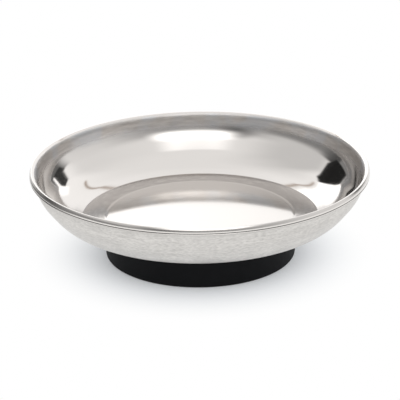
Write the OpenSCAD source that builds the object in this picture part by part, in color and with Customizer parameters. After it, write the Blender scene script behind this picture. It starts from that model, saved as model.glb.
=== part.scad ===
// Magnetic parts tray. A pressed sheet-metal dish with a rolled lip stands on a
// ring magnet in a rubber boot. One nut, on a stud welded under the dish floor,
// pulls a flanged hub up against the boot and the magnet.
// Millimetres, +Z up. The origin is the middle of the face that the tray stands on.

/* [Dish] */
// Diameter over the rolled lip
dish_d = 150; // [146:1:156]
// Thickness of the pressed sheet
sheet_t = 0.8; // [0.6:0.1:0.9]
// Inside radius of the bend between floor and wall
bend_r = 20; // [16:0.5:22]
// Slope of the sheet where it leaves the floor
bend_start_angle = 8; // [6:1:12]
// Slope of the straight wall between bend and neck
wall_angle = 51; // [45:1:57]
// Length of the straight wall
wall_len = 4.2; // [2:0.2:8]
// Inside radius of the neck, where the wall turns upright below the lip
neck_r = 18; // [15:0.5:20]
// Width of the lip, from the inside of the wall to the rim
lip_w = 2.6; // [2.4:0.1:3.2]
// Outside radius of the fold over the crest of the lip
lip_r = 1; // [0.95:0.05:1.2]
// Lean of the lip's outer face
lip_lean = 19; // [14:1:25]

/* [Magnet and pad] */
// Outside diameter of the ring magnet
magnet_d = 80; // [70:1:86]
// Bore of the ring magnet
magnet_bore = 32; // [30:1:36]
// Thickness of the ring magnet
magnet_h = 13.5; // [11:0.5:15]
// Edge break on the magnet
magnet_chamfer = 0.8; // [0.4:0.1:1.2]
// Thickness of the foam pad between magnet and dish
pad_t = 0.5; // [0.4:0.1:0.9]
// Distance of the pad's edges from the magnet's edges
pad_inset = 2; // [1:0.5:4]

/* [Boot] */
// Thickness of the boot's side wall
boot_wall = 2; // [1.6:0.1:4]
// Thickness of the boot under the magnet
boot_floor = 3; // [2.8:0.1:4]
// Radius on the lower outside edge
boot_round = 1.5; // [0.8:0.1:2]
// Number of grip grooves in the underside
groove_count = 3; // [1:1:4]
// Width of one grip groove
groove_w = 1.6; // [1:0.1:2]
// Depth of one grip groove
groove_depth = 0.8; // [0.4:0.1:1.2]

/* [Hub] */
// Diameter of the hub's flange
hub_flange_d = 46; // [44:1:50]
// Thickness of the hub's flange
hub_flange_t = 1.6; // [1.2:0.1:1.8]
// Thickness of the web that the washer bears on
hub_web = 3; // [2:0.1:3.2]
// Height of the flange above the ground
hub_lift = 0.4; // [0.2:0.1:0.6]

/* [Fastening] */
// Thread diameter of the stud and nut
stud_d = 6; // [5:0.5:6.5]
// Diameter of the stud's weld flange
stud_flange_d = 7.5; // [7:0.1:9]
// Thickness of the stud's weld flange
stud_flange_t = 1.2; // [0.8:0.1:1.4]
// Bevel on the stud's tip
stud_tip = 0.6; // [0.3:0.1:1]
// Length of stud that shows past the nut
stud_show = 0.8; // [0.5:0.1:1]
// Width of the nut across its flats
nut_flats = 10; // [9:0.5:12]
// Height of the nut
nut_h = 5; // [4:0.1:5.2]
// Width of the nut's round end faces as a share of its flats
nut_face_share = 0.95; // [0.9:0.01:0.98]
// Slope of the nut's turned-off corners
nut_bevel_angle = 30; // [20:1:35]
// Outside diameter of the plain washer
washer_d = 18; // [14:0.5:20]
// Thickness of the plain washer
washer_t = 1.6; // [1:0.1:1.8]
// Outside diameter of the spring washer
spring_d = 11.8; // [11:0.1:13]
// Thickness of the spring washer
spring_t = 1.6; // [1.2:0.1:1.8]
// Width of the spring washer's slot
spring_slot = 1; // [0.6:0.1:1.4]
// Lean of the spring washer's slot
spring_slot_angle = 20; // [10:1:30]

/* [Clearances] */
// Boot to magnet, all round
boot_clear = 0.2; // [0.1:0.05:0.3]
// Hub to magnet bore and to the boot's recess, all round
hub_clear = 0.15; // [0.1:0.05:0.3]
// Hub to the stud's weld flange
hub_gap = 0.3; // [0.2:0.1:0.5]
// Stud to hub and washers, all round
stud_clear = 0.3; // [0.2:0.05:0.4]
// Stud to nut where the threads mesh, all round
thread_clear = 0.05; // [0.04:0.01:0.08]
// Plain washer to the hub's counterbore, all round
washer_clear = 1; // [0.5:0.1:1.5]

/* [Hidden] */
$fn = 144;
// How far a cut runs past the face that it opens
overrun = 1;
// Straight steps along each arc of the dish
bend_steps = 12;
neck_steps = 10;
fold_steps = 5;
// Corners of the nut
hex_sides = 6;

// Radii
rim_r = dish_d / 2;
magnet_r = magnet_d / 2;
bore_r = magnet_bore / 2;
boot_in_r = magnet_r + boot_clear;
boot_r = boot_in_r + boot_wall;
hub_r = bore_r - hub_clear;
hub_flange_r = hub_flange_d / 2;
recess_r = hub_flange_r + hub_clear;
stud_r = stud_d / 2;
stud_flange_r = stud_flange_d / 2;
loose_r = stud_r + stud_clear;
washer_r = washer_d / 2;
spring_r = spring_d / 2;
cbore_r = washer_r + washer_clear;
nut_flats_r = nut_flats / 2;
nut_corner_r = nut_flats_r / cos(180 / hex_sides);
nut_face_r = nut_flats_r * nut_face_share;

// Heights, from the ground up
recess_z = hub_lift + hub_flange_t;
pad_z = boot_floor + magnet_h;
under_z = pad_z + pad_t;
floor_z = under_z + sheet_t;

// Heights of the fastening, from the dish down
hub_top_z = under_z - stud_flange_t - hub_gap;
web_z = hub_top_z - hub_web;
washer_z = web_z - washer_t;
spring_z = washer_z - spring_t;
nut_z = spring_z - nut_h;
stud_z = nut_z - stud_show;

// Outward direction of the sheet where it rises at slope a
function out(a) = [sin(a), -cos(a)];

// Points of an arc from slope a to slope b, from point number first on
function arc(c, r, a, b, steps, first) =
    [for (i = [first:steps]) c + r * out(a + (b - a) * i / steps)];

// Width and rise of the sheet from the edge of the floor to the upright top of the wall
wall_run = bend_r * (sin(wall_angle) - sin(bend_start_angle)) + wall_len * cos(wall_angle)
    + neck_r * (1 - sin(wall_angle));
wall_rise = bend_r * (cos(bend_start_angle) - cos(wall_angle)) + wall_len * sin(wall_angle)
    + neck_r * cos(wall_angle);
floor_r = rim_r - lip_w - wall_run;
crest_z = floor_z + wall_rise + lip_r;

// Bend: leaves the floor at bend_start_angle; its outside meets the underside of the floor
bend_c = [floor_r, floor_z] - bend_r * out(bend_start_angle);
crease_angle = acos((bend_c[1] - under_z) / (bend_r + sheet_t));

// Neck: turns the wall upright
neck_c = [rim_r - lip_w - neck_r, crest_z - lip_r];
upright_angle = 90;

// Lip: folds over the crest and leans out to the rim
lip_c = [rim_r - lip_w + lip_r, crest_z - lip_r];
fold_start_angle = 270;
crest_angle = 180;
fold_end_angle = upright_angle + lip_lean;
fold_end = lip_c + lip_r * out(fold_end_angle);
lip_edge = [rim_r, fold_end[1] - (rim_r - fold_end[0]) / tan(lip_lean)];

module tube(r_out, r_in, z, h) {
    translate([0, 0, z]) difference() {
        cylinder(r = r_out, h = h);
        translate([0, 0, -overrun]) cylinder(r = r_in, h = h + 2 * overrun);
    }
}

// Upper side of the sheet, out to the lip, and back along its lower side
module dish_profile() {
    polygon(concat(
        [[0, under_z], [0, floor_z]],
        arc(bend_c, bend_r, bend_start_angle, wall_angle, bend_steps, 0),
        arc(neck_c, neck_r, wall_angle, upright_angle, neck_steps, 0),
        arc(lip_c, lip_r, fold_start_angle, crest_angle, fold_steps, 1),
        arc(lip_c, lip_r, crest_angle, fold_end_angle, fold_steps, 1),
        [lip_edge, lip_edge - sheet_t * out(fold_end_angle)],
        arc(lip_c, lip_r - sheet_t, fold_end_angle, fold_start_angle, fold_steps, 0),
        arc(neck_c, neck_r + sheet_t, upright_angle, wall_angle, neck_steps, 1),
        arc(bend_c, bend_r + sheet_t, wall_angle, crease_angle, bend_steps, 0)
    ));
}

// Pressed sheet: flat floor, curved wall and a lip folded outward and down
module dish() {
    color("#c9c8c4") rotate_extrude() dish_profile();
}

// Stud welded under the middle of the floor, so that the floor stays unbroken
module weld_stud() {
    color("#b0a37e") rotate_extrude() polygon([
        [0, stud_z],
        [stud_r - stud_tip, stud_z],
        [stud_r, stud_z + stud_tip],
        [stud_r, under_z - stud_flange_t],
        [stud_flange_r, under_z - stud_flange_t],
        [stud_flange_r, under_z],
        [0, under_z],
    ]);
}

// Thin foam ring that takes up the play between magnet and dish
module foam_pad() {
    color("#3a3a3c") tube(magnet_r - pad_inset, bore_r + pad_inset, pad_z, pad_t);
}

// Ferrite ring with broken edges
module ring_magnet() {
    color("#4a4a4d") translate([0, 0, boot_floor]) rotate_extrude() polygon([
        [bore_r + magnet_chamfer, 0],
        [magnet_r - magnet_chamfer, 0],
        [magnet_r, magnet_chamfer],
        [magnet_r, magnet_h - magnet_chamfer],
        [magnet_r - magnet_chamfer, magnet_h],
        [bore_r + magnet_chamfer, magnet_h],
        [bore_r, magnet_h - magnet_chamfer],
        [bore_r, magnet_chamfer],
    ]);
}

// Cup around the magnet, with a recess for the hub's flange and grip grooves below
module rubber_boot() {
    foot_r = boot_r - boot_round;
    land = (foot_r - recess_r - groove_count * groove_w) / (groove_count + 1);
    color("#17181a") rotate_extrude() difference() {
        union() {
            square([foot_r, under_z]);
            translate([foot_r, boot_round]) square([boot_round, under_z - boot_round]);
            intersection() {
                translate([foot_r, boot_round]) circle(boot_round);
                translate([foot_r, 0]) square(boot_round);
            }
        }
        translate([0, boot_floor]) square([boot_in_r, under_z]);
        translate([0, -overrun]) square([bore_r, under_z]);
        translate([0, -overrun]) square([recess_r, recess_z + overrun]);
        for (i = [1:groove_count])
            translate([recess_r + i * land + (i - 1) * groove_w, -overrun])
                square([groove_w, groove_depth + overrun]);
    }
}

// Flanged hub through the magnet, counterbored from below for the nut
module retaining_hub() {
    color("#232426") rotate_extrude() polygon([
        [cbore_r, hub_lift],
        [hub_flange_r, hub_lift],
        [hub_flange_r, recess_z],
        [hub_r, recess_z],
        [hub_r, hub_top_z],
        [loose_r, hub_top_z],
        [loose_r, web_z],
        [cbore_r, web_z],
    ]);
}

// Wide plain washer under the hub's web
module plain_washer() {
    color("#b9bab8") tube(washer_r, loose_r, washer_z, washer_t);
}

// Split spring washer, drawn flat as it is under load
module spring_washer() {
    slot_len = spring_r + overrun;
    color("#8f9092") difference() {
        tube(spring_r, loose_r, spring_z, spring_t);
        translate([slot_len / 2, 0, spring_z + spring_t / 2]) rotate([spring_slot_angle, 0, 0])
            cube([slot_len, spring_slot, spring_t + 2 * overrun], center = true);
    }
}

// Hexagon nut with its corners turned off at both ends
module hex_nut() {
    ease_r = nut_corner_r + overrun;
    ease_h = (ease_r - nut_face_r) * tan(nut_bevel_angle);
    color("#c2b27c") translate([0, 0, nut_z]) difference() {
        intersection() {
            cylinder(r = nut_corner_r, h = nut_h, $fn = hex_sides);
            rotate_extrude() polygon([
                [0, 0],
                [nut_face_r, 0],
                [ease_r, ease_h],
                [ease_r, nut_h - ease_h],
                [nut_face_r, nut_h],
                [0, nut_h],
            ]);
        }
        translate([0, 0, -overrun]) cylinder(r = stud_r + thread_clear, h = nut_h + 2 * overrun);
    }
}

dish();
weld_stud();
foam_pad();
ring_magnet();
rubber_boot();
retaining_hub();
plain_washer();
spring_washer();
hex_nut();
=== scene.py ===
"""Magnetic parts tray: a polished steel dish on a black magnet base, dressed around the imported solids."""

import math

import bmesh
import bpy
from mathutils import Matrix, Vector


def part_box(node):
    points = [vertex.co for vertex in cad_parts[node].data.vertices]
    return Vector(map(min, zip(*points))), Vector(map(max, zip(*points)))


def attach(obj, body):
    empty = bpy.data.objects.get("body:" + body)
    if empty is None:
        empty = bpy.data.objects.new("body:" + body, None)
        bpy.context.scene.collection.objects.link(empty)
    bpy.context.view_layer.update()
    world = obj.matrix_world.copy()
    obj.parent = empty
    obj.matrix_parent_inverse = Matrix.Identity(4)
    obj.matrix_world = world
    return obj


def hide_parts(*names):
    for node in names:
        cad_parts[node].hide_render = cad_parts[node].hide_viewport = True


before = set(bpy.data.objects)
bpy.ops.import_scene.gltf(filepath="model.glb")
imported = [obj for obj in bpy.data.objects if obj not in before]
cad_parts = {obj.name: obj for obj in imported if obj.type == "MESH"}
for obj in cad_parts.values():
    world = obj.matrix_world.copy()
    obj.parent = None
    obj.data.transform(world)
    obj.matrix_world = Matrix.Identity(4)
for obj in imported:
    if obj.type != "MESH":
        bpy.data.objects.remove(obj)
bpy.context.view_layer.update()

MM = 0.001
FULL_TURN = 2 * math.pi
BODY = "root"

# Sizes that the solids were made with
SHEET = 0.8 * MM
BEND_RADIUS = 20 * MM
WALL_SLOPE = math.radians(51)
WALL_LENGTH = 4.2 * MM
NECK_RADIUS = 18 * MM
LIP_WIDTH = 2.6 * MM
LIP_RADIUS = 1 * MM
UPRIGHT = math.radians(90)

BOOT_INSIDE_RADIUS = 40.2 * MM
BOOT_FLOOR = 3 * MM
BOOT_ROUND = 1.5 * MM
GROOVES = 3
GROOVE_WIDTH = 1.6 * MM
GROOVE_DEPTH = 0.8 * MM
MAGNET_BORE_RADIUS = 16 * MM
RECESS_RADIUS = 23.15 * MM
RECESS_DEPTH = 2 * MM

HUB_RADIUS = 15.85 * MM
HUB_FLANGE = 1.6 * MM
HUB_WEB = 3 * MM
COUNTERBORE_RADIUS = 10 * MM
LOOSE_HOLE_RADIUS = 3.3 * MM

STUD_RADIUS = 3 * MM
STUD_FLANGE_RADIUS = 3.75 * MM
STUD_FLANGE = 1.2 * MM
THREAD_PITCH = 1 * MM
THREAD_DEPTH = 0.6 * MM
NUT_FLATS_RADIUS = 5 * MM
NUT_BORE_RADIUS = 3.05 * MM
NUT_FACE_RADIUS = 4.75 * MM
NUT_BEVEL = math.radians(30)
NUT_FLATS = 6
SPRING_SLOT = 1 * MM
SPRING_SLOT_LEAN = math.radians(20)
SPRING_EDGE = 0.15 * MM

# Relief of the pressed floor: a seat over the magnet, a ring that falls away from it, and an apron
SEAT_RADIUS = 41.3 * MM
SEAT_STEP = 0.1 * MM
SEAT_STEP_WIDTH = 0.8 * MM
SEAT_ROUND = 0.5 * MM
STEP_ROUND = 0.35 * MM
CREASE_ROUND = 0.3 * MM
APRON_SLOPE = math.radians(16.5)
APRON_LENGTH = 3.6 * MM

# Form of the rolled lip: a soft crest, a bowed face, an upright land, a notch and a bead below it
CREST_RADIUS = 1.9 * MM
FOLD_RADIUS = 0.12 * MM
FACE_START = math.radians(33)
FACE_END = math.radians(14)
LAND = 0.5 * MM
LAND_ROUND = 0.1 * MM
NOTCH_DEPTH = 0.3 * MM
NOTCH_WIDTH = 0.4 * MM
NOTCH_ROUND = 0.05 * MM
BEAD = 0.5 * MM
BEAD_ROUND = 0.12 * MM
LIP_EDGE_ROUND = 0.25 * MM
LIP_INNER_ROUND = 0.15 * MM
LIP_HOLLOW_ROUND = 0.2 * MM

# How finely the turned pieces are cut
DISH_STEPS = 320
BASE_STEPS = 224
SMALL_STEPS = 96
THREAD_STEPS = 40
BEND_STEPS = 26
NECK_STEPS = 22
CREST_STEPS = 14
FOLD_STEPS = 8
FACE_STEPS = 10
UNDER_CREST_STEPS = 8
CORNER_STEPS = 4
WELD = 1e-7
SHARP = math.radians(28)

# Faces of the dish whose normal falls below this are on the outside
DOWNWARD = -0.02

FLOOR_RADIUS = 4

# Width and height in pixels of the picture that the camera is set for
PICTURE = 400


class Outline:
    """Half section of a turned piece, drawn in the XZ plane as a chain of edges and spun about Z."""

    def __init__(self, radius, height):
        self.mesh = bmesh.new()
        self.tip = self.mesh.verts.new((radius, 0, height))
        self.start = self.tip
        self.corners = []

    def line(self, radius, height, rounding=0):
        """Straight on to a point, whose corner is rounded off later."""
        made = bmesh.ops.extrude_vert_indiv(self.mesh, verts=[self.tip])
        self.tip = made["verts"][0]
        self.tip.co = (radius, 0, height)
        if rounding:
            self.corners.append((self.tip, rounding))

    def arc(self, centre, turn, steps):
        """Round a centre, anticlockwise as seen from the front."""
        made = bmesh.ops.spin(
            self.mesh, geom=[self.tip], axis=(0, -1, 0), cent=centre, angle=turn, steps=steps
        )
        self.tip = made["geom_last"][0]

    def close(self, rounding=0):
        """Back to the first point."""
        self.mesh.edges.new((self.tip, self.start))
        if rounding:
            self.corners.append((self.start, rounding))

    def turned(self, steps):
        """Rounds the corners off and spins the outline into a closed shell."""
        for corner, rounding in self.corners:
            bmesh.ops.bevel(
                self.mesh, geom=[corner], offset=rounding, segments=CORNER_STEPS, profile=0.5,
                affect="VERTICES", material=-1, clamp_overlap=True,
            )
        bmesh.ops.spin(
            self.mesh, geom=self.mesh.verts[:] + self.mesh.edges[:], axis=(0, 0, 1), cent=(0, 0, 0),
            angle=FULL_TURN, steps=steps, use_merge=True,
        )
        bmesh.ops.remove_doubles(self.mesh, verts=self.mesh.verts[:], dist=WELD)
        bmesh.ops.recalc_face_normals(self.mesh, faces=self.mesh.faces[:])
        return self.mesh


def outer_radius(box):
    """Radius of a turned piece, from its lowest and highest corners."""
    low, high = box
    return min(high.x, high.y, -low.x, -low.y)


def make_piece(name, mesh, node, finishes):
    """Turns a finished bmesh into a piece of the tray that stands for one CAD node."""
    bmesh.ops.remove_doubles(mesh, verts=mesh.verts[:], dist=WELD)
    bmesh.ops.recalc_face_normals(mesh, faces=mesh.faces[:])
    for face in mesh.faces:
        face.smooth = True
    for edge in mesh.edges:
        edge.smooth = edge.calc_face_angle(0) < SHARP
    data = bpy.data.meshes.new(name)
    mesh.to_mesh(data)
    mesh.free()
    for finish in finishes:
        data.materials.append(finish)
    piece = bpy.data.objects.new(name, data)
    bpy.context.scene.collection.objects.link(piece)
    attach(piece, BODY)
    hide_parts(node)


class Wire:
    """Number on a node board. Arithmetic on it adds Math nodes."""

    def __init__(self, board, socket):
        self.board = board
        self.socket = socket

    def math(self, operation, *others):
        values = dict(enumerate((self, *others)))
        made = self.board.node("Math", {"operation": operation}, values)
        return Wire(self.board, made.outputs[0])

    def __add__(self, other):
        return self.math("ADD", other)

    __radd__ = __add__

    def __mul__(self, other):
        return self.math("MULTIPLY", other)

    __rmul__ = __mul__

    def __sub__(self, other):
        return self.math("SUBTRACT", other)

    def __rsub__(self, other):
        return self.math("MULTIPLY_ADD", -1, other)

    def __truediv__(self, other):
        return self.math("DIVIDE", other)

    def between(self, low, high):
        """0 below low, 1 above high and a smooth step between them."""
        made = self.board.node(
            "MapRange",
            {"interpolation_type": "SMOOTHSTEP"},
            {"Value": self, "From Min": low, "From Max": high},
        )
        return Wire(self.board, made.outputs[0])

    def until(self, low, high):
        """1 below low, 0 above high and a smooth step between them."""
        return 1 - self.between(low, high)


class Board:
    """Node board of a finish, of the floor or of the world."""

    def __init__(self, owner):
        owner.use_nodes = True
        self.tree = owner.node_tree
        self.tree.nodes.clear()

    def node(self, kind, settings=None, sockets=None):
        """Adds a node: its settings first, then the values or links of its sockets."""
        made = self.tree.nodes.new("ShaderNode" + kind)
        for name, value in (settings or {}).items():
            setattr(made, name, value)
        for name, value in (sockets or {}).items():
            if isinstance(value, Wire):
                value = value.socket
            if isinstance(value, bpy.types.NodeSocket):
                self.tree.links.new(value, made.inputs[name])
            else:
                made.inputs[name].default_value = value
        return made

    def axes(self, source="Object"):
        """X, Y and Z of the surface point, or of the ray on the world's board."""
        place = self.node("TexCoord").outputs[source]
        split = self.node("SeparateXYZ", None, {0: place})
        return [Wire(self, out) for out in split.outputs]

    def ray(self, kind):
        """1 for rays of that kind and 0 for all others."""
        return Wire(self, self.node("LightPath").outputs[kind])

    def noise(self, place, scale, detail, roughness=0.5):
        """Noise from 0 to 1 at a place, which is given as three numbers."""
        joined = self.node("CombineXYZ", None, dict(enumerate(place)))
        made = self.node(
            "TexNoise",
            {"noise_dimensions": "3D"},
            {"Vector": joined.outputs[0], "Scale": scale, "Detail": detail, "Roughness": roughness},
        )
        return Wire(self, made.outputs[0])

    def blend(self, factor, first, second):
        """Colour between two colours, of which the first may come from another blend."""
        if isinstance(first, tuple):
            first = (*first, 1)
        made = self.node("Mix", {"data_type": "RGBA"}, {"Factor": factor, 6: first, 7: (*second, 1)})
        return made.outputs[2]

    def bump(self, height, depth, strength):
        """Normal of a surface with a fine relief of that depth in metres."""
        made = self.node("Bump", None, {"Strength": strength, "Distance": depth, "Height": height})
        return made.outputs[0]

    def surface(self, shader):
        """Ends the board in a shader."""
        kind = "OutputWorld" if shader.bl_idname == "ShaderNodeBackground" else "OutputMaterial"
        self.node(kind, None, {"Surface": shader.outputs[0]})

    def paint(self, sockets):
        """Ends the board in a Principled shader."""
        self.surface(self.node("BsdfPrincipled", None, sockets))


def new_finish(name):
    finish = bpy.data.materials.new(name)
    return finish, Board(finish)


def above(angle, limit, softness):
    """1 above an angle in degrees, 0 below it, with an edge of that softness."""
    return angle.between(math.radians(limit - softness), math.radians(limit + softness))


def below(angle, limit, softness):
    """The other way round."""
    return 1 - above(angle, limit, softness)


def band(angle, low, high, softness):
    """1 between two angles in degrees."""
    return above(angle, low, softness) * below(angle, high, softness)


def from_axis(x, y):
    """Distance from the dish's axis."""
    return (x * x + y * y).math("SQRT")


def ring_place(board, along, around):
    """Place on a turned surface: stretched round the axis, fine across it."""
    x, y, z = board.axes()
    radius = from_axis(x, y)
    return [x / radius * around, y / radius * around, (z + radius) * along]


def polished_steel():
    """Mirror finish, duller on the ring round the seat, and satin with cool patches below the lip; a
    painted highlight on the land at the rim and painted shade in the groove under it.
    """
    finish, board = new_finish("polished_steel")
    rim = outer_radius(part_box("dish"))
    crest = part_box("dish")[1].z
    x, y, z = board.axes()
    radius = from_axis(x, y)
    smudge = board.noise([x, y, z], 38, 3)
    rings = board.noise(ring_place(board, 2400, 2.5), 1, 2)
    grain = board.noise(ring_place(board, 700, 9), 1, 3, 0.6).between(0.3, 0.7)
    tint = board.noise([x, y, z], 70, 2).between(0.42, 0.6)
    ring = radius.between(42 * MM, 43 * MM) * radius.until(51.8 * MM, 52.6 * MM)
    lip = radius.between(rim - 1.6 * MM, rim - 0.8 * MM)
    land = radius.between(rim - 0.1 * MM, rim - 0.02 * MM)
    inside = radius.until(rim - 2.5 * MM, rim - 1.7 * MM)
    satin = z.between(crest - 9 * MM, crest - 4 * MM) * inside
    buffed = z.between(crest - 3.2 * MM, crest - 1.8 * MM) * inside
    # Painted shade: the groove under the land is coloured near black, standing in for the shade inside it
    painted_notch_shade = radius.between(rim - 0.5 * MM, rim - 0.4 * MM) * radius.until(rim - 0.14 * MM, rim - 0.03 * MM)
    painted_notch_shade = painted_notch_shade * z.until(crest - 1.9 * MM, crest - 1.75 * MM)
    dull = ring * (0.55 + grain * 0.8) + satin * (0.25 + grain * 0.7) + rings * 0.07
    steel = board.blend(dull, (0.695, 0.667, 0.642), (0.50, 0.475, 0.455))
    steel = board.blend(satin * tint * 0.7, steel, (0.56, 0.575, 0.60))
    # Painted highlight: the land at the rim is coloured lighter, so that its reflection reads brighter
    steel = board.blend(land * 0.8, steel, (0.85, 0.82, 0.79))
    steel = board.blend(painted_notch_shade, steel, (0.1, 0.095, 0.09))
    board.paint({
        "Base Color": steel,
        "Metallic": 1,
        "Roughness": 0.05 + smudge * 0.05 + ring * 0.05 + satin * 0.3 + buffed * 0.2 + lip * 0.1,
        "Normal": board.bump(rings, 0.004 * MM, 0.10),
    })
    return finish


def brushed_steel():
    """Sheet with a fine grain round the outside, and painted shade just below the lip."""
    finish, board = new_finish("brushed_steel")
    x, y, z = board.axes()
    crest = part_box("dish")[1].z
    # Painted shade: the wall just below the lip is coloured darker, standing in for the shade under the lip
    painted_lip_shade = z.between(crest - 4.6 * MM, crest - 3 * MM)
    fine = board.noise(ring_place(board, 1500, 40), 1, 3, 0.6)
    broad = board.noise(ring_place(board, 600, 2.0), 1, 2)
    cloud = board.noise([x, y, z], 130, 3)
    streaks = (fine * 0.7 + broad * 0.25 + cloud * 0.2).between(0.38, 0.77)
    # Grain streaks, darkened by the painted shade under the lip
    grain_and_lip_shade = streaks * (1 - painted_lip_shade * 0.8)
    board.paint({
        "Base Color": board.blend(grain_and_lip_shade, (0.545, 0.53, 0.509), (0.785, 0.767, 0.74)),
        "Metallic": 1,
        "Roughness": 0.36 + streaks * 0.2,
        "Normal": board.bump(streaks, 0.02 * MM, 0.35),
    })
    return finish


def black_rubber():
    finish, board = new_finish("black_rubber")
    x, y, z = board.axes()
    grain = board.noise([x, y, z], 2600, 3, 0.6)
    cloud = board.noise([x, y, z], 90, 3)
    board.paint({
        "Base Color": board.blend(cloud, (0.0042, 0.0044, 0.0052), (0.0066, 0.0068, 0.0078)),
        "Roughness": 0.55 + grain * 0.2,
        "Specular IOR Level": 0.12,
        "Normal": board.bump(grain, 0.03 * MM, 0.4),
    })
    return finish


def black_nylon():
    finish, board = new_finish("black_nylon")
    x, y, z = board.axes()
    grain = board.noise([x, y, z], 4200, 4, 0.6)
    flow = board.noise([x, y, z], 140, 3)
    board.paint({
        "Base Color": board.blend(flow, (0.016, 0.016, 0.018), (0.026, 0.026, 0.028)),
        "Roughness": 0.42 + grain * 0.16,
        "Specular IOR Level": 0.4,
        "Normal": board.bump(grain, 0.02 * MM, 0.5),
    })
    return finish


def bright_zinc():
    finish, board = new_finish("bright_zinc")
    x, y, z = board.axes()
    frost = board.noise([x, y, z], 900, 4, 0.6)
    tint = board.noise([x, y, z], 160, 2)
    board.paint({
        "Base Color": board.blend(tint, (0.60, 0.62, 0.64), (0.68, 0.67, 0.63)),
        "Metallic": 1,
        "Roughness": 0.24 + frost * 0.2,
        "Normal": board.bump(frost, 0.01 * MM, 0.5),
    })
    return finish


def spring_steel():
    finish, board = new_finish("spring_steel")
    x, y, z = board.axes()
    scale = board.noise([x, y, z], 700, 4, 0.65)
    board.paint({
        "Base Color": board.blend(scale, (0.22, 0.22, 0.235), (0.36, 0.36, 0.37)),
        "Metallic": 1,
        "Roughness": 0.34 + scale * 0.22,
        "Normal": board.bump(scale, 0.012 * MM, 0.6),
    })
    return finish


def copper_flash():
    finish, board = new_finish("copper_flash")
    x, y, z = board.axes()
    worn = board.noise([x, y, z], 520, 4, 0.6).between(0.45, 0.7)
    board.paint({
        "Base Color": board.blend(worn, (0.62, 0.48, 0.36), (0.55, 0.54, 0.52)),
        "Metallic": 1,
        "Roughness": 0.3 + worn * 0.15,
        "Normal": board.bump(worn, 0.01 * MM, 0.4),
    })
    return finish


def ground_ferrite():
    finish, board = new_finish("ground_ferrite")
    x, y, z = board.axes()
    grit = board.noise([x, y, z], 3000, 4, 0.7)
    board.paint({
        "Base Color": board.blend(grit, (0.055, 0.055, 0.06), (0.085, 0.085, 0.09)),
        "Roughness": 0.5 + grit * 0.2,
        "Normal": board.bump(grit, 0.02 * MM, 0.6),
    })
    return finish


def cell_foam():
    finish, board = new_finish("cell_foam")
    x, y, z = board.axes()
    cells = board.noise([x, y, z], 2400, 2, 0.5).between(0.35, 0.65)
    board.paint({
        "Base Color": board.blend(cells, (0.035, 0.035, 0.04), (0.065, 0.065, 0.07)),
        "Roughness": 0.9,
        "Normal": board.bump(cells, 0.05 * MM, 0.8),
    })
    return finish


def outward(slope):
    """Direction across the sheet, to its lower side, where it rises at that slope."""
    return Vector((math.sin(slope), 0, -math.cos(slope)))


def upward(slope):
    """Direction along the sheet, to its rim, where it rises at that slope."""
    return Vector((math.cos(slope), 0, math.sin(slope)))


def make_dish(polished, brushed):
    low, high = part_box("dish")
    rim = outer_radius((low, high))
    under = low.z
    floor = under + SHEET

    neck = Vector((rim - LIP_WIDTH - NECK_RADIUS, 0, high.z - LIP_RADIUS))
    crest_start = math.acos((CREST_RADIUS - LIP_RADIUS) / (NECK_RADIUS + CREST_RADIUS))
    crest = neck + (NECK_RADIUS + CREST_RADIUS) * outward(crest_start)
    fold = Vector((crest.x, 0, high.z - FOLD_RADIUS))
    face_top = fold + FOLD_RADIUS * upward(FACE_START)
    face_radius = (rim - face_top.x) / (math.cos(FACE_END) - math.cos(FACE_START))
    face = face_top - face_radius * upward(FACE_START)
    land = (face + face_radius * upward(FACE_END)).z - LAND
    lip_end = land - NOTCH_WIDTH - BEAD
    wall_top = neck + NECK_RADIUS * outward(WALL_SLOPE)
    bend = wall_top - WALL_LENGTH * upward(WALL_SLOPE) - BEND_RADIUS * outward(WALL_SLOPE)
    lower_bend_end = bend + (BEND_RADIUS + SHEET) * outward(WALL_SLOPE)
    lower_crease = math.acos((bend.z - under) / (BEND_RADIUS + SHEET))
    apron_top = bend + BEND_RADIUS * outward(APRON_SLOPE)
    crease = apron_top - APRON_LENGTH * upward(APRON_SLOPE)

    outline = Outline(0, floor)
    outline.line(SEAT_RADIUS * 0.5, floor)
    outline.line(SEAT_RADIUS, floor, SEAT_ROUND)
    outline.line(SEAT_RADIUS + SEAT_STEP_WIDTH, floor - SEAT_STEP, STEP_ROUND)
    outline.line(crease.x, crease.z, CREASE_ROUND)
    outline.line(apron_top.x, apron_top.z)
    outline.arc(bend, WALL_SLOPE - APRON_SLOPE, BEND_STEPS)
    outline.line(wall_top.x, wall_top.z)
    outline.arc(neck, crest_start - WALL_SLOPE, NECK_STEPS)
    outline.arc(crest, -crest_start, CREST_STEPS)
    outline.arc(fold, FACE_START - UPRIGHT, FOLD_STEPS)
    outline.arc(face, FACE_END - FACE_START, FACE_STEPS)
    outline.line(rim, land, LAND_ROUND)
    outline.line(rim - NOTCH_DEPTH, land - NOTCH_WIDTH / 2, NOTCH_ROUND)
    outline.line(rim, land - NOTCH_WIDTH, BEAD_ROUND)
    outline.line(rim, lip_end, LIP_EDGE_ROUND)
    outline.line(rim - SHEET, lip_end, LIP_INNER_ROUND)
    outline.line(rim - SHEET, crest.z)
    outline.line(crest.x, crest.z + CREST_RADIUS - SHEET, LIP_HOLLOW_ROUND)
    outline.arc(crest, crest_start, UNDER_CREST_STEPS)
    outline.arc(neck, WALL_SLOPE - crest_start, NECK_STEPS)
    outline.line(lower_bend_end.x, lower_bend_end.z)
    outline.arc(bend, lower_crease - WALL_SLOPE, BEND_STEPS)
    outline.line(0, under)
    mesh = outline.turned(DISH_STEPS)
    for face in mesh.faces:
        face.material_index = int(face.normal.z < DOWNWARD)
    make_piece("dish_sheet", mesh, "dish", [polished, brushed])


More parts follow.
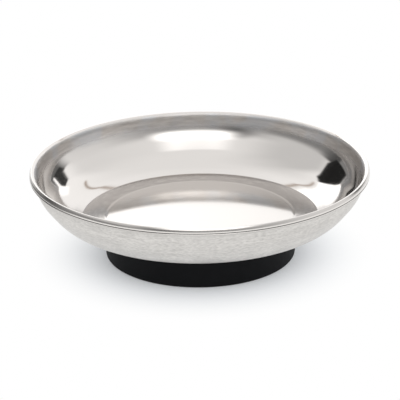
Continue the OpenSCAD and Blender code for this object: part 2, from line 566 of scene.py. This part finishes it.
def make_boot(rubber):
    side = outer_radius(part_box("rubber_boot"))
    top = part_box("rubber_boot")[1].z
    land = (side - BOOT_ROUND - RECESS_RADIUS - GROOVES * GROOVE_WIDTH) / (GROOVES + 1)
    soft = 0.25 * MM
    outline = Outline(MAGNET_BORE_RADIUS, BOOT_FLOOR)
    outline.line(BOOT_INSIDE_RADIUS, BOOT_FLOOR)
    outline.line(BOOT_INSIDE_RADIUS, top)
    outline.line(side, top, soft)
    outline.line(side, top * 0.5)
    outline.line(side, 0, BOOT_ROUND)
    edge = side - BOOT_ROUND
    for number in range(GROOVES):
        edge -= land
        outline.line(edge, 0, soft)
        outline.line(edge, GROOVE_DEPTH, soft)
        edge -= GROOVE_WIDTH
        outline.line(edge, GROOVE_DEPTH, soft)
        outline.line(edge, 0, soft)
    outline.line(RECESS_RADIUS, 0, soft)
    outline.line(RECESS_RADIUS, RECESS_DEPTH, soft)
    outline.line(MAGNET_BORE_RADIUS, RECESS_DEPTH)
    outline.close()
    make_piece("boot", outline.turned(BASE_STEPS), "rubber_boot", [rubber])


def make_hub(nylon):
    low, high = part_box("retaining_hub")
    flange = outer_radius((low, high))
    web = high.z - HUB_WEB
    soft = 0.3 * MM
    outline = Outline(COUNTERBORE_RADIUS, low.z)
    outline.line(flange, low.z, soft)
    outline.line(flange, low.z + HUB_FLANGE, soft)
    outline.line(HUB_RADIUS, low.z + HUB_FLANGE)
    outline.line(HUB_RADIUS, high.z, soft)
    outline.line(LOOSE_HOLE_RADIUS, high.z)
    outline.line(LOOSE_HOLE_RADIUS, web)
    outline.line(COUNTERBORE_RADIUS, web, soft)
    outline.close(0.6 * MM)
    make_piece("hub", outline.turned(BASE_STEPS), "retaining_hub", [nylon])


def make_washer(zinc):
    """Punched washer: rolled edges on one side and crisp ones on the other."""
    low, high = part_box("plain_washer")
    rim = outer_radius((low, high))
    crisp = 0.08 * MM
    outline = Outline(LOOSE_HOLE_RADIUS, low.z)
    outline.line(rim, low.z, 0.35 * MM)
    outline.line(rim, high.z, crisp)
    outline.line(LOOSE_HOLE_RADIUS, high.z, crisp)
    outline.close(0.3 * MM)
    make_piece("washer", outline.turned(SMALL_STEPS), "plain_washer", [zinc])


def make_spring_washer(steel):
    low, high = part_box("spring_washer")
    rim = min(high.y, -low.x, -low.y)
    middle = (rim + LOOSE_HOLE_RADIUS) / 2
    thick = high.z - low.z
    gap = SPRING_SLOT / math.cos(SPRING_SLOT_LEAN) / middle
    lean = math.tan(SPRING_SLOT_LEAN) * thick / 2 / middle
    mesh = bmesh.new()
    corners = [(LOOSE_HOLE_RADIUS, low.z), (rim, low.z), (rim, high.z), (LOOSE_HOLE_RADIUS, high.z)]
    section = mesh.faces.new([mesh.verts.new((radius, 0, height)) for radius, height in corners])
    bmesh.ops.bevel(
        mesh, geom=section.verts[:], offset=SPRING_EDGE, segments=3, profile=0.5,
        affect="VERTICES", material=-1,
    )
    bmesh.ops.rotate(mesh, verts=mesh.verts[:], cent=(0, 0, 0), matrix=Matrix.Rotation(gap / 2, 3, "Z"))
    first = mesh.faces[:]
    bmesh.ops.duplicate(mesh, geom=first)
    bmesh.ops.spin(
        mesh, geom=first + list({edge for face in first for edge in face.edges}), axis=(0, 0, 1),
        cent=(0, 0, 0), angle=FULL_TURN - gap, steps=SMALL_STEPS,
    )
    bmesh.ops.remove_doubles(mesh, verts=mesh.verts[:], dist=WELD)
    for level, way in ((low.z, 1), (high.z, -1)):
        end = [vert for vert in mesh.verts if abs(vert.co.z - level) < thick / 2]
        bmesh.ops.rotate(mesh, verts=end, cent=(0, 0, 0), matrix=Matrix.Rotation(way * lean, 3, "Z"))
    make_piece("split_washer", mesh, "spring_washer", [steel])


def make_nut(zinc):
    low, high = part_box("hex_nut")
    spare = 0.2 * MM
    reach = NUT_FLATS_RADIUS / math.cos(math.pi / NUT_FLATS) + spare
    ease = (reach - NUT_FACE_RADIUS) * math.tan(NUT_BEVEL)
    mouth = 0.4 * MM
    outline = Outline(NUT_BORE_RADIUS + mouth, low.z)
    outline.line(NUT_FACE_RADIUS, low.z)
    outline.line(reach, low.z + ease)
    outline.line(reach, high.z - ease)
    outline.line(NUT_FACE_RADIUS, high.z)
    outline.line(NUT_BORE_RADIUS + mouth, high.z)
    outline.line(NUT_BORE_RADIUS, high.z - mouth)
    outline.line(NUT_BORE_RADIUS, low.z + mouth)
    outline.close()
    mesh = outline.turned(SMALL_STEPS * 2)
    for flat in range(NUT_FLATS):
        turn = FULL_TURN / NUT_FLATS * (flat + 0.5)
        across = Vector((math.cos(turn), math.sin(turn), 0))
        cut = bmesh.ops.bisect_plane(
            mesh, geom=mesh.verts[:] + mesh.edges[:] + mesh.faces[:], dist=WELD,
            plane_co=across * NUT_FLATS_RADIUS, plane_no=across, clear_outer=True,
        )
        rim = [item for item in cut["geom_cut"] if isinstance(item, bmesh.types.BMEdge)]
        bmesh.ops.contextual_create(mesh, geom=rim)
    make_piece("nut", mesh, "hex_nut", [zinc])


def make_stud(copper):
    low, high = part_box("weld_stud")
    root = STUD_RADIUS - THREAD_DEPTH
    flange = high.z - STUD_FLANGE
    soft = 0.2 * MM
    outline = Outline(0, low.z)
    outline.line(root, low.z, soft)
    outline.line(root, flange, soft)
    outline.line(STUD_FLANGE_RADIUS, flange, soft)
    outline.line(STUD_FLANGE_RADIUS, high.z)
    outline.line(0, high.z)
    mesh = outline.turned(SMALL_STEPS)

    thread = bmesh.new()
    start = low.z + 0.15 * MM
    turns = int((flange - start) / THREAD_PITCH) - 1
    inside = root - 0.1 * MM
    half = THREAD_PITCH * 0.44
    tip = THREAD_PITCH * 0.07
    middle = start + half
    corners = [
        (inside, middle - half), (STUD_RADIUS, middle - tip), (STUD_RADIUS, middle + tip),
        (inside, middle + half),
    ]
    ridge = thread.faces.new([thread.verts.new((radius, 0, height)) for radius, height in corners])
    bmesh.ops.duplicate(thread, geom=[ridge])
    bmesh.ops.spin(
        thread, geom=[ridge, *ridge.edges], axis=(0, 0, 1), cent=(0, 0, 0), angle=FULL_TURN * turns,
        dvec=(0, 0, THREAD_PITCH / THREAD_STEPS), steps=THREAD_STEPS * turns,
    )
    bmesh.ops.remove_doubles(thread, verts=thread.verts[:], dist=WELD)
    bmesh.ops.recalc_face_normals(thread, faces=thread.faces[:])
    helix = bpy.data.meshes.new("thread")
    thread.to_mesh(helix)
    thread.free()
    mesh.from_mesh(helix)
    bpy.data.meshes.remove(helix)
    make_piece("stud", mesh, "weld_stud", [copper])


def dress_hidden_nodes(finishes):
    """Gives the solids that stay their finish."""
    for node, finish in finishes.items():
        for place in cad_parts[node].material_slots:
            place.material = finish


def make_floor():
    """Wide white floor. It shows the tray's soft shadow near the base and plain white further out.

    The steel mirrors the studio's dark gap on the left in it.
    """
    mesh = bmesh.new()
    bmesh.ops.create_circle(mesh, cap_ends=True, segments=SMALL_STEPS, radius=FLOOR_RADIUS)
    data = bpy.data.meshes.new("floor")
    mesh.to_mesh(data)
    mesh.free()
    finish, board = new_finish("white_floor")
    x, y, z = board.axes()
    distance = from_axis(x, y)
    clear = 0.12 + distance.between(29 * MM, 78 * MM) * 0.88
    mirrored = board.ray("Is Glossy Ray")
    seen = board.ray("Is Camera Ray").math("MAXIMUM", mirrored)
    seen = seen.math("MAXIMUM", board.ray("Is Transmission Ray"))
    gap = band(x.math("ARCTAN2", y), -98, -46, 10) * distance.between(125 * MM, 185 * MM)
    paper = board.node("BsdfDiffuse", None, {"Color": (0.87, 0.925, 0.985, 1)})
    white = board.node("Emission", None, {
        "Color": board.blend(mirrored * gap * 0.8, (1, 1, 1), (0, 0, 0)), "Strength": 1,
    })
    board.surface(board.node("MixShader", None, {
        "Fac": seen * clear, 1: paper.outputs[0], 2: white.outputs[0],
    }))
    data.materials.append(finish)
    floor = bpy.data.objects.new("floor", data)
    bpy.context.scene.collection.objects.link(floor)


def hang(light, level, cover):
    """Puts a panel of that level into the studio."""
    return light + cover * (level - light)


def light_studio():
    """White tent around the tray: soft panels, dark gaps and two dark flags for the steel to mirror."""
    world = bpy.data.worlds.new("studio")
    bpy.context.scene.world = world
    board = Board(world)
    x, y, z = board.axes("Generated")
    back = x.math("ARCTAN2", y)
    front = x.math("ARCTAN2", -1 * y)
    rise = z.math("ARCSINE")

    # Walls, the darker front where the camera stands, and the softbox above it
    light = hang(1.07, 0.78, band(back, -122, -42, 26) * below(rise, 66, 22))
    light = hang(light, 0.9, band(back, 66, 145, 26) * below(rise, 42, 34))
    light = hang(light, 0.4, above(front, -52, 30) * below(front, 55, 36) * below(rise, 36, 9))
    light = hang(light, 0.12, band(front, -36, -16, 14) * band(rise, 12, 45, 7))
    light = hang(light, 0.3, band(back, -135, -60, 14) * below(rise, 20, 7))
    light = hang(light, 1.26, band(back, -60, 60, 9) * below(rise, 46, 18))
    light = hang(light, 2.8, band(front, -26, 34, 14) * band(rise, 30, 54.5, 9))

    # Gap, white panel and flag at the back on the left
    light = hang(light, 0.1, above(back, -72.5, 10) * below(back, -37, 1) * below(rise, 23, 2.5))
    light = hang(light, 1.8, above(back, -39.5, 0.8) * below(back, -1, 8) * below(rise, 35.7, 1))
    light = hang(light, 0.28, band(back, -57, -35, 1.2) * below(rise, 12.9, 0.8))
    corner = below(rise - back * 0.9, 82.5, 1.5)
    light = hang(light, 0.02, band(back, -61.5, -40.3, 0.9) * band(rise, 12.8, 36, 1) * corner)

    # The same on the right
    light = hang(light, 0.17, above(back, 42.3, 0.8) * below(back, 62, 8) * below(rise, 20.5, 1.5))
    light = hang(light, 1.7, above(back, 31.5, 3) * below(back, 42.3, 0.7) * below(rise, 25, 2))
    light = hang(light, 0.18, above(back, 35, 1.5) * below(back, 50, 5) * below(rise, 13, 0.6))
    light = hang(light, 0.05, band(back, 42.6, 56.5, 1.2) * band(rise, 12.6, 21.3, 0.8))

    seam = band(back, -36, 46, 4) * band(rise, 38, 39.6, 0.7)
    light = hang(light, 0.5, seam)
    seen = board.ray("Is Camera Ray")
    board.surface(board.node("Background", None, {
        "Color": board.blend(seam * (1 - seen), (1, 1, 1), (1, 0.86, 0.76)),
        "Strength": light * (1 - seen) + seen,
    }))


def place_camera():
    """Camera at the photograph's angle, worked out for a square picture."""
    distance = 1.0
    aim = 1.5 * MM
    elevation = math.radians(22.4)
    tilt = math.radians(1.23)
    roll = math.radians(0.74)
    focal_pixels = 2234
    data = bpy.data.cameras.new("camera")
    data.sensor_width = 36
    data.lens = focal_pixels / PICTURE * data.sensor_width
    data.clip_start = 0.05
    data.clip_end = 20
    camera = bpy.data.objects.new("camera", data)
    bpy.context.scene.collection.objects.link(camera)
    place = Matrix.Translation((
        0, -distance * math.cos(elevation), aim + distance * math.sin(elevation),
    ))
    pitch = Matrix.Rotation(math.radians(90) - elevation + tilt, 4, "X")
    camera.matrix_world = place @ pitch @ Matrix.Rotation(-roll, 4, "Z")
    bpy.context.scene.camera = camera


zinc = bright_zinc()
make_dish(polished_steel(), brushed_steel())
make_boot(black_rubber())
make_hub(black_nylon())
make_washer(zinc)
make_spring_washer(spring_steel())
make_nut(zinc)
make_stud(copper_flash())
dress_hidden_nodes({"ring_magnet": ground_ferrite(), "foam_pad": cell_foam()})

make_floor()
light_studio()
place_camera()
bpy.context.scene.view_settings.view_transform = "Standard"
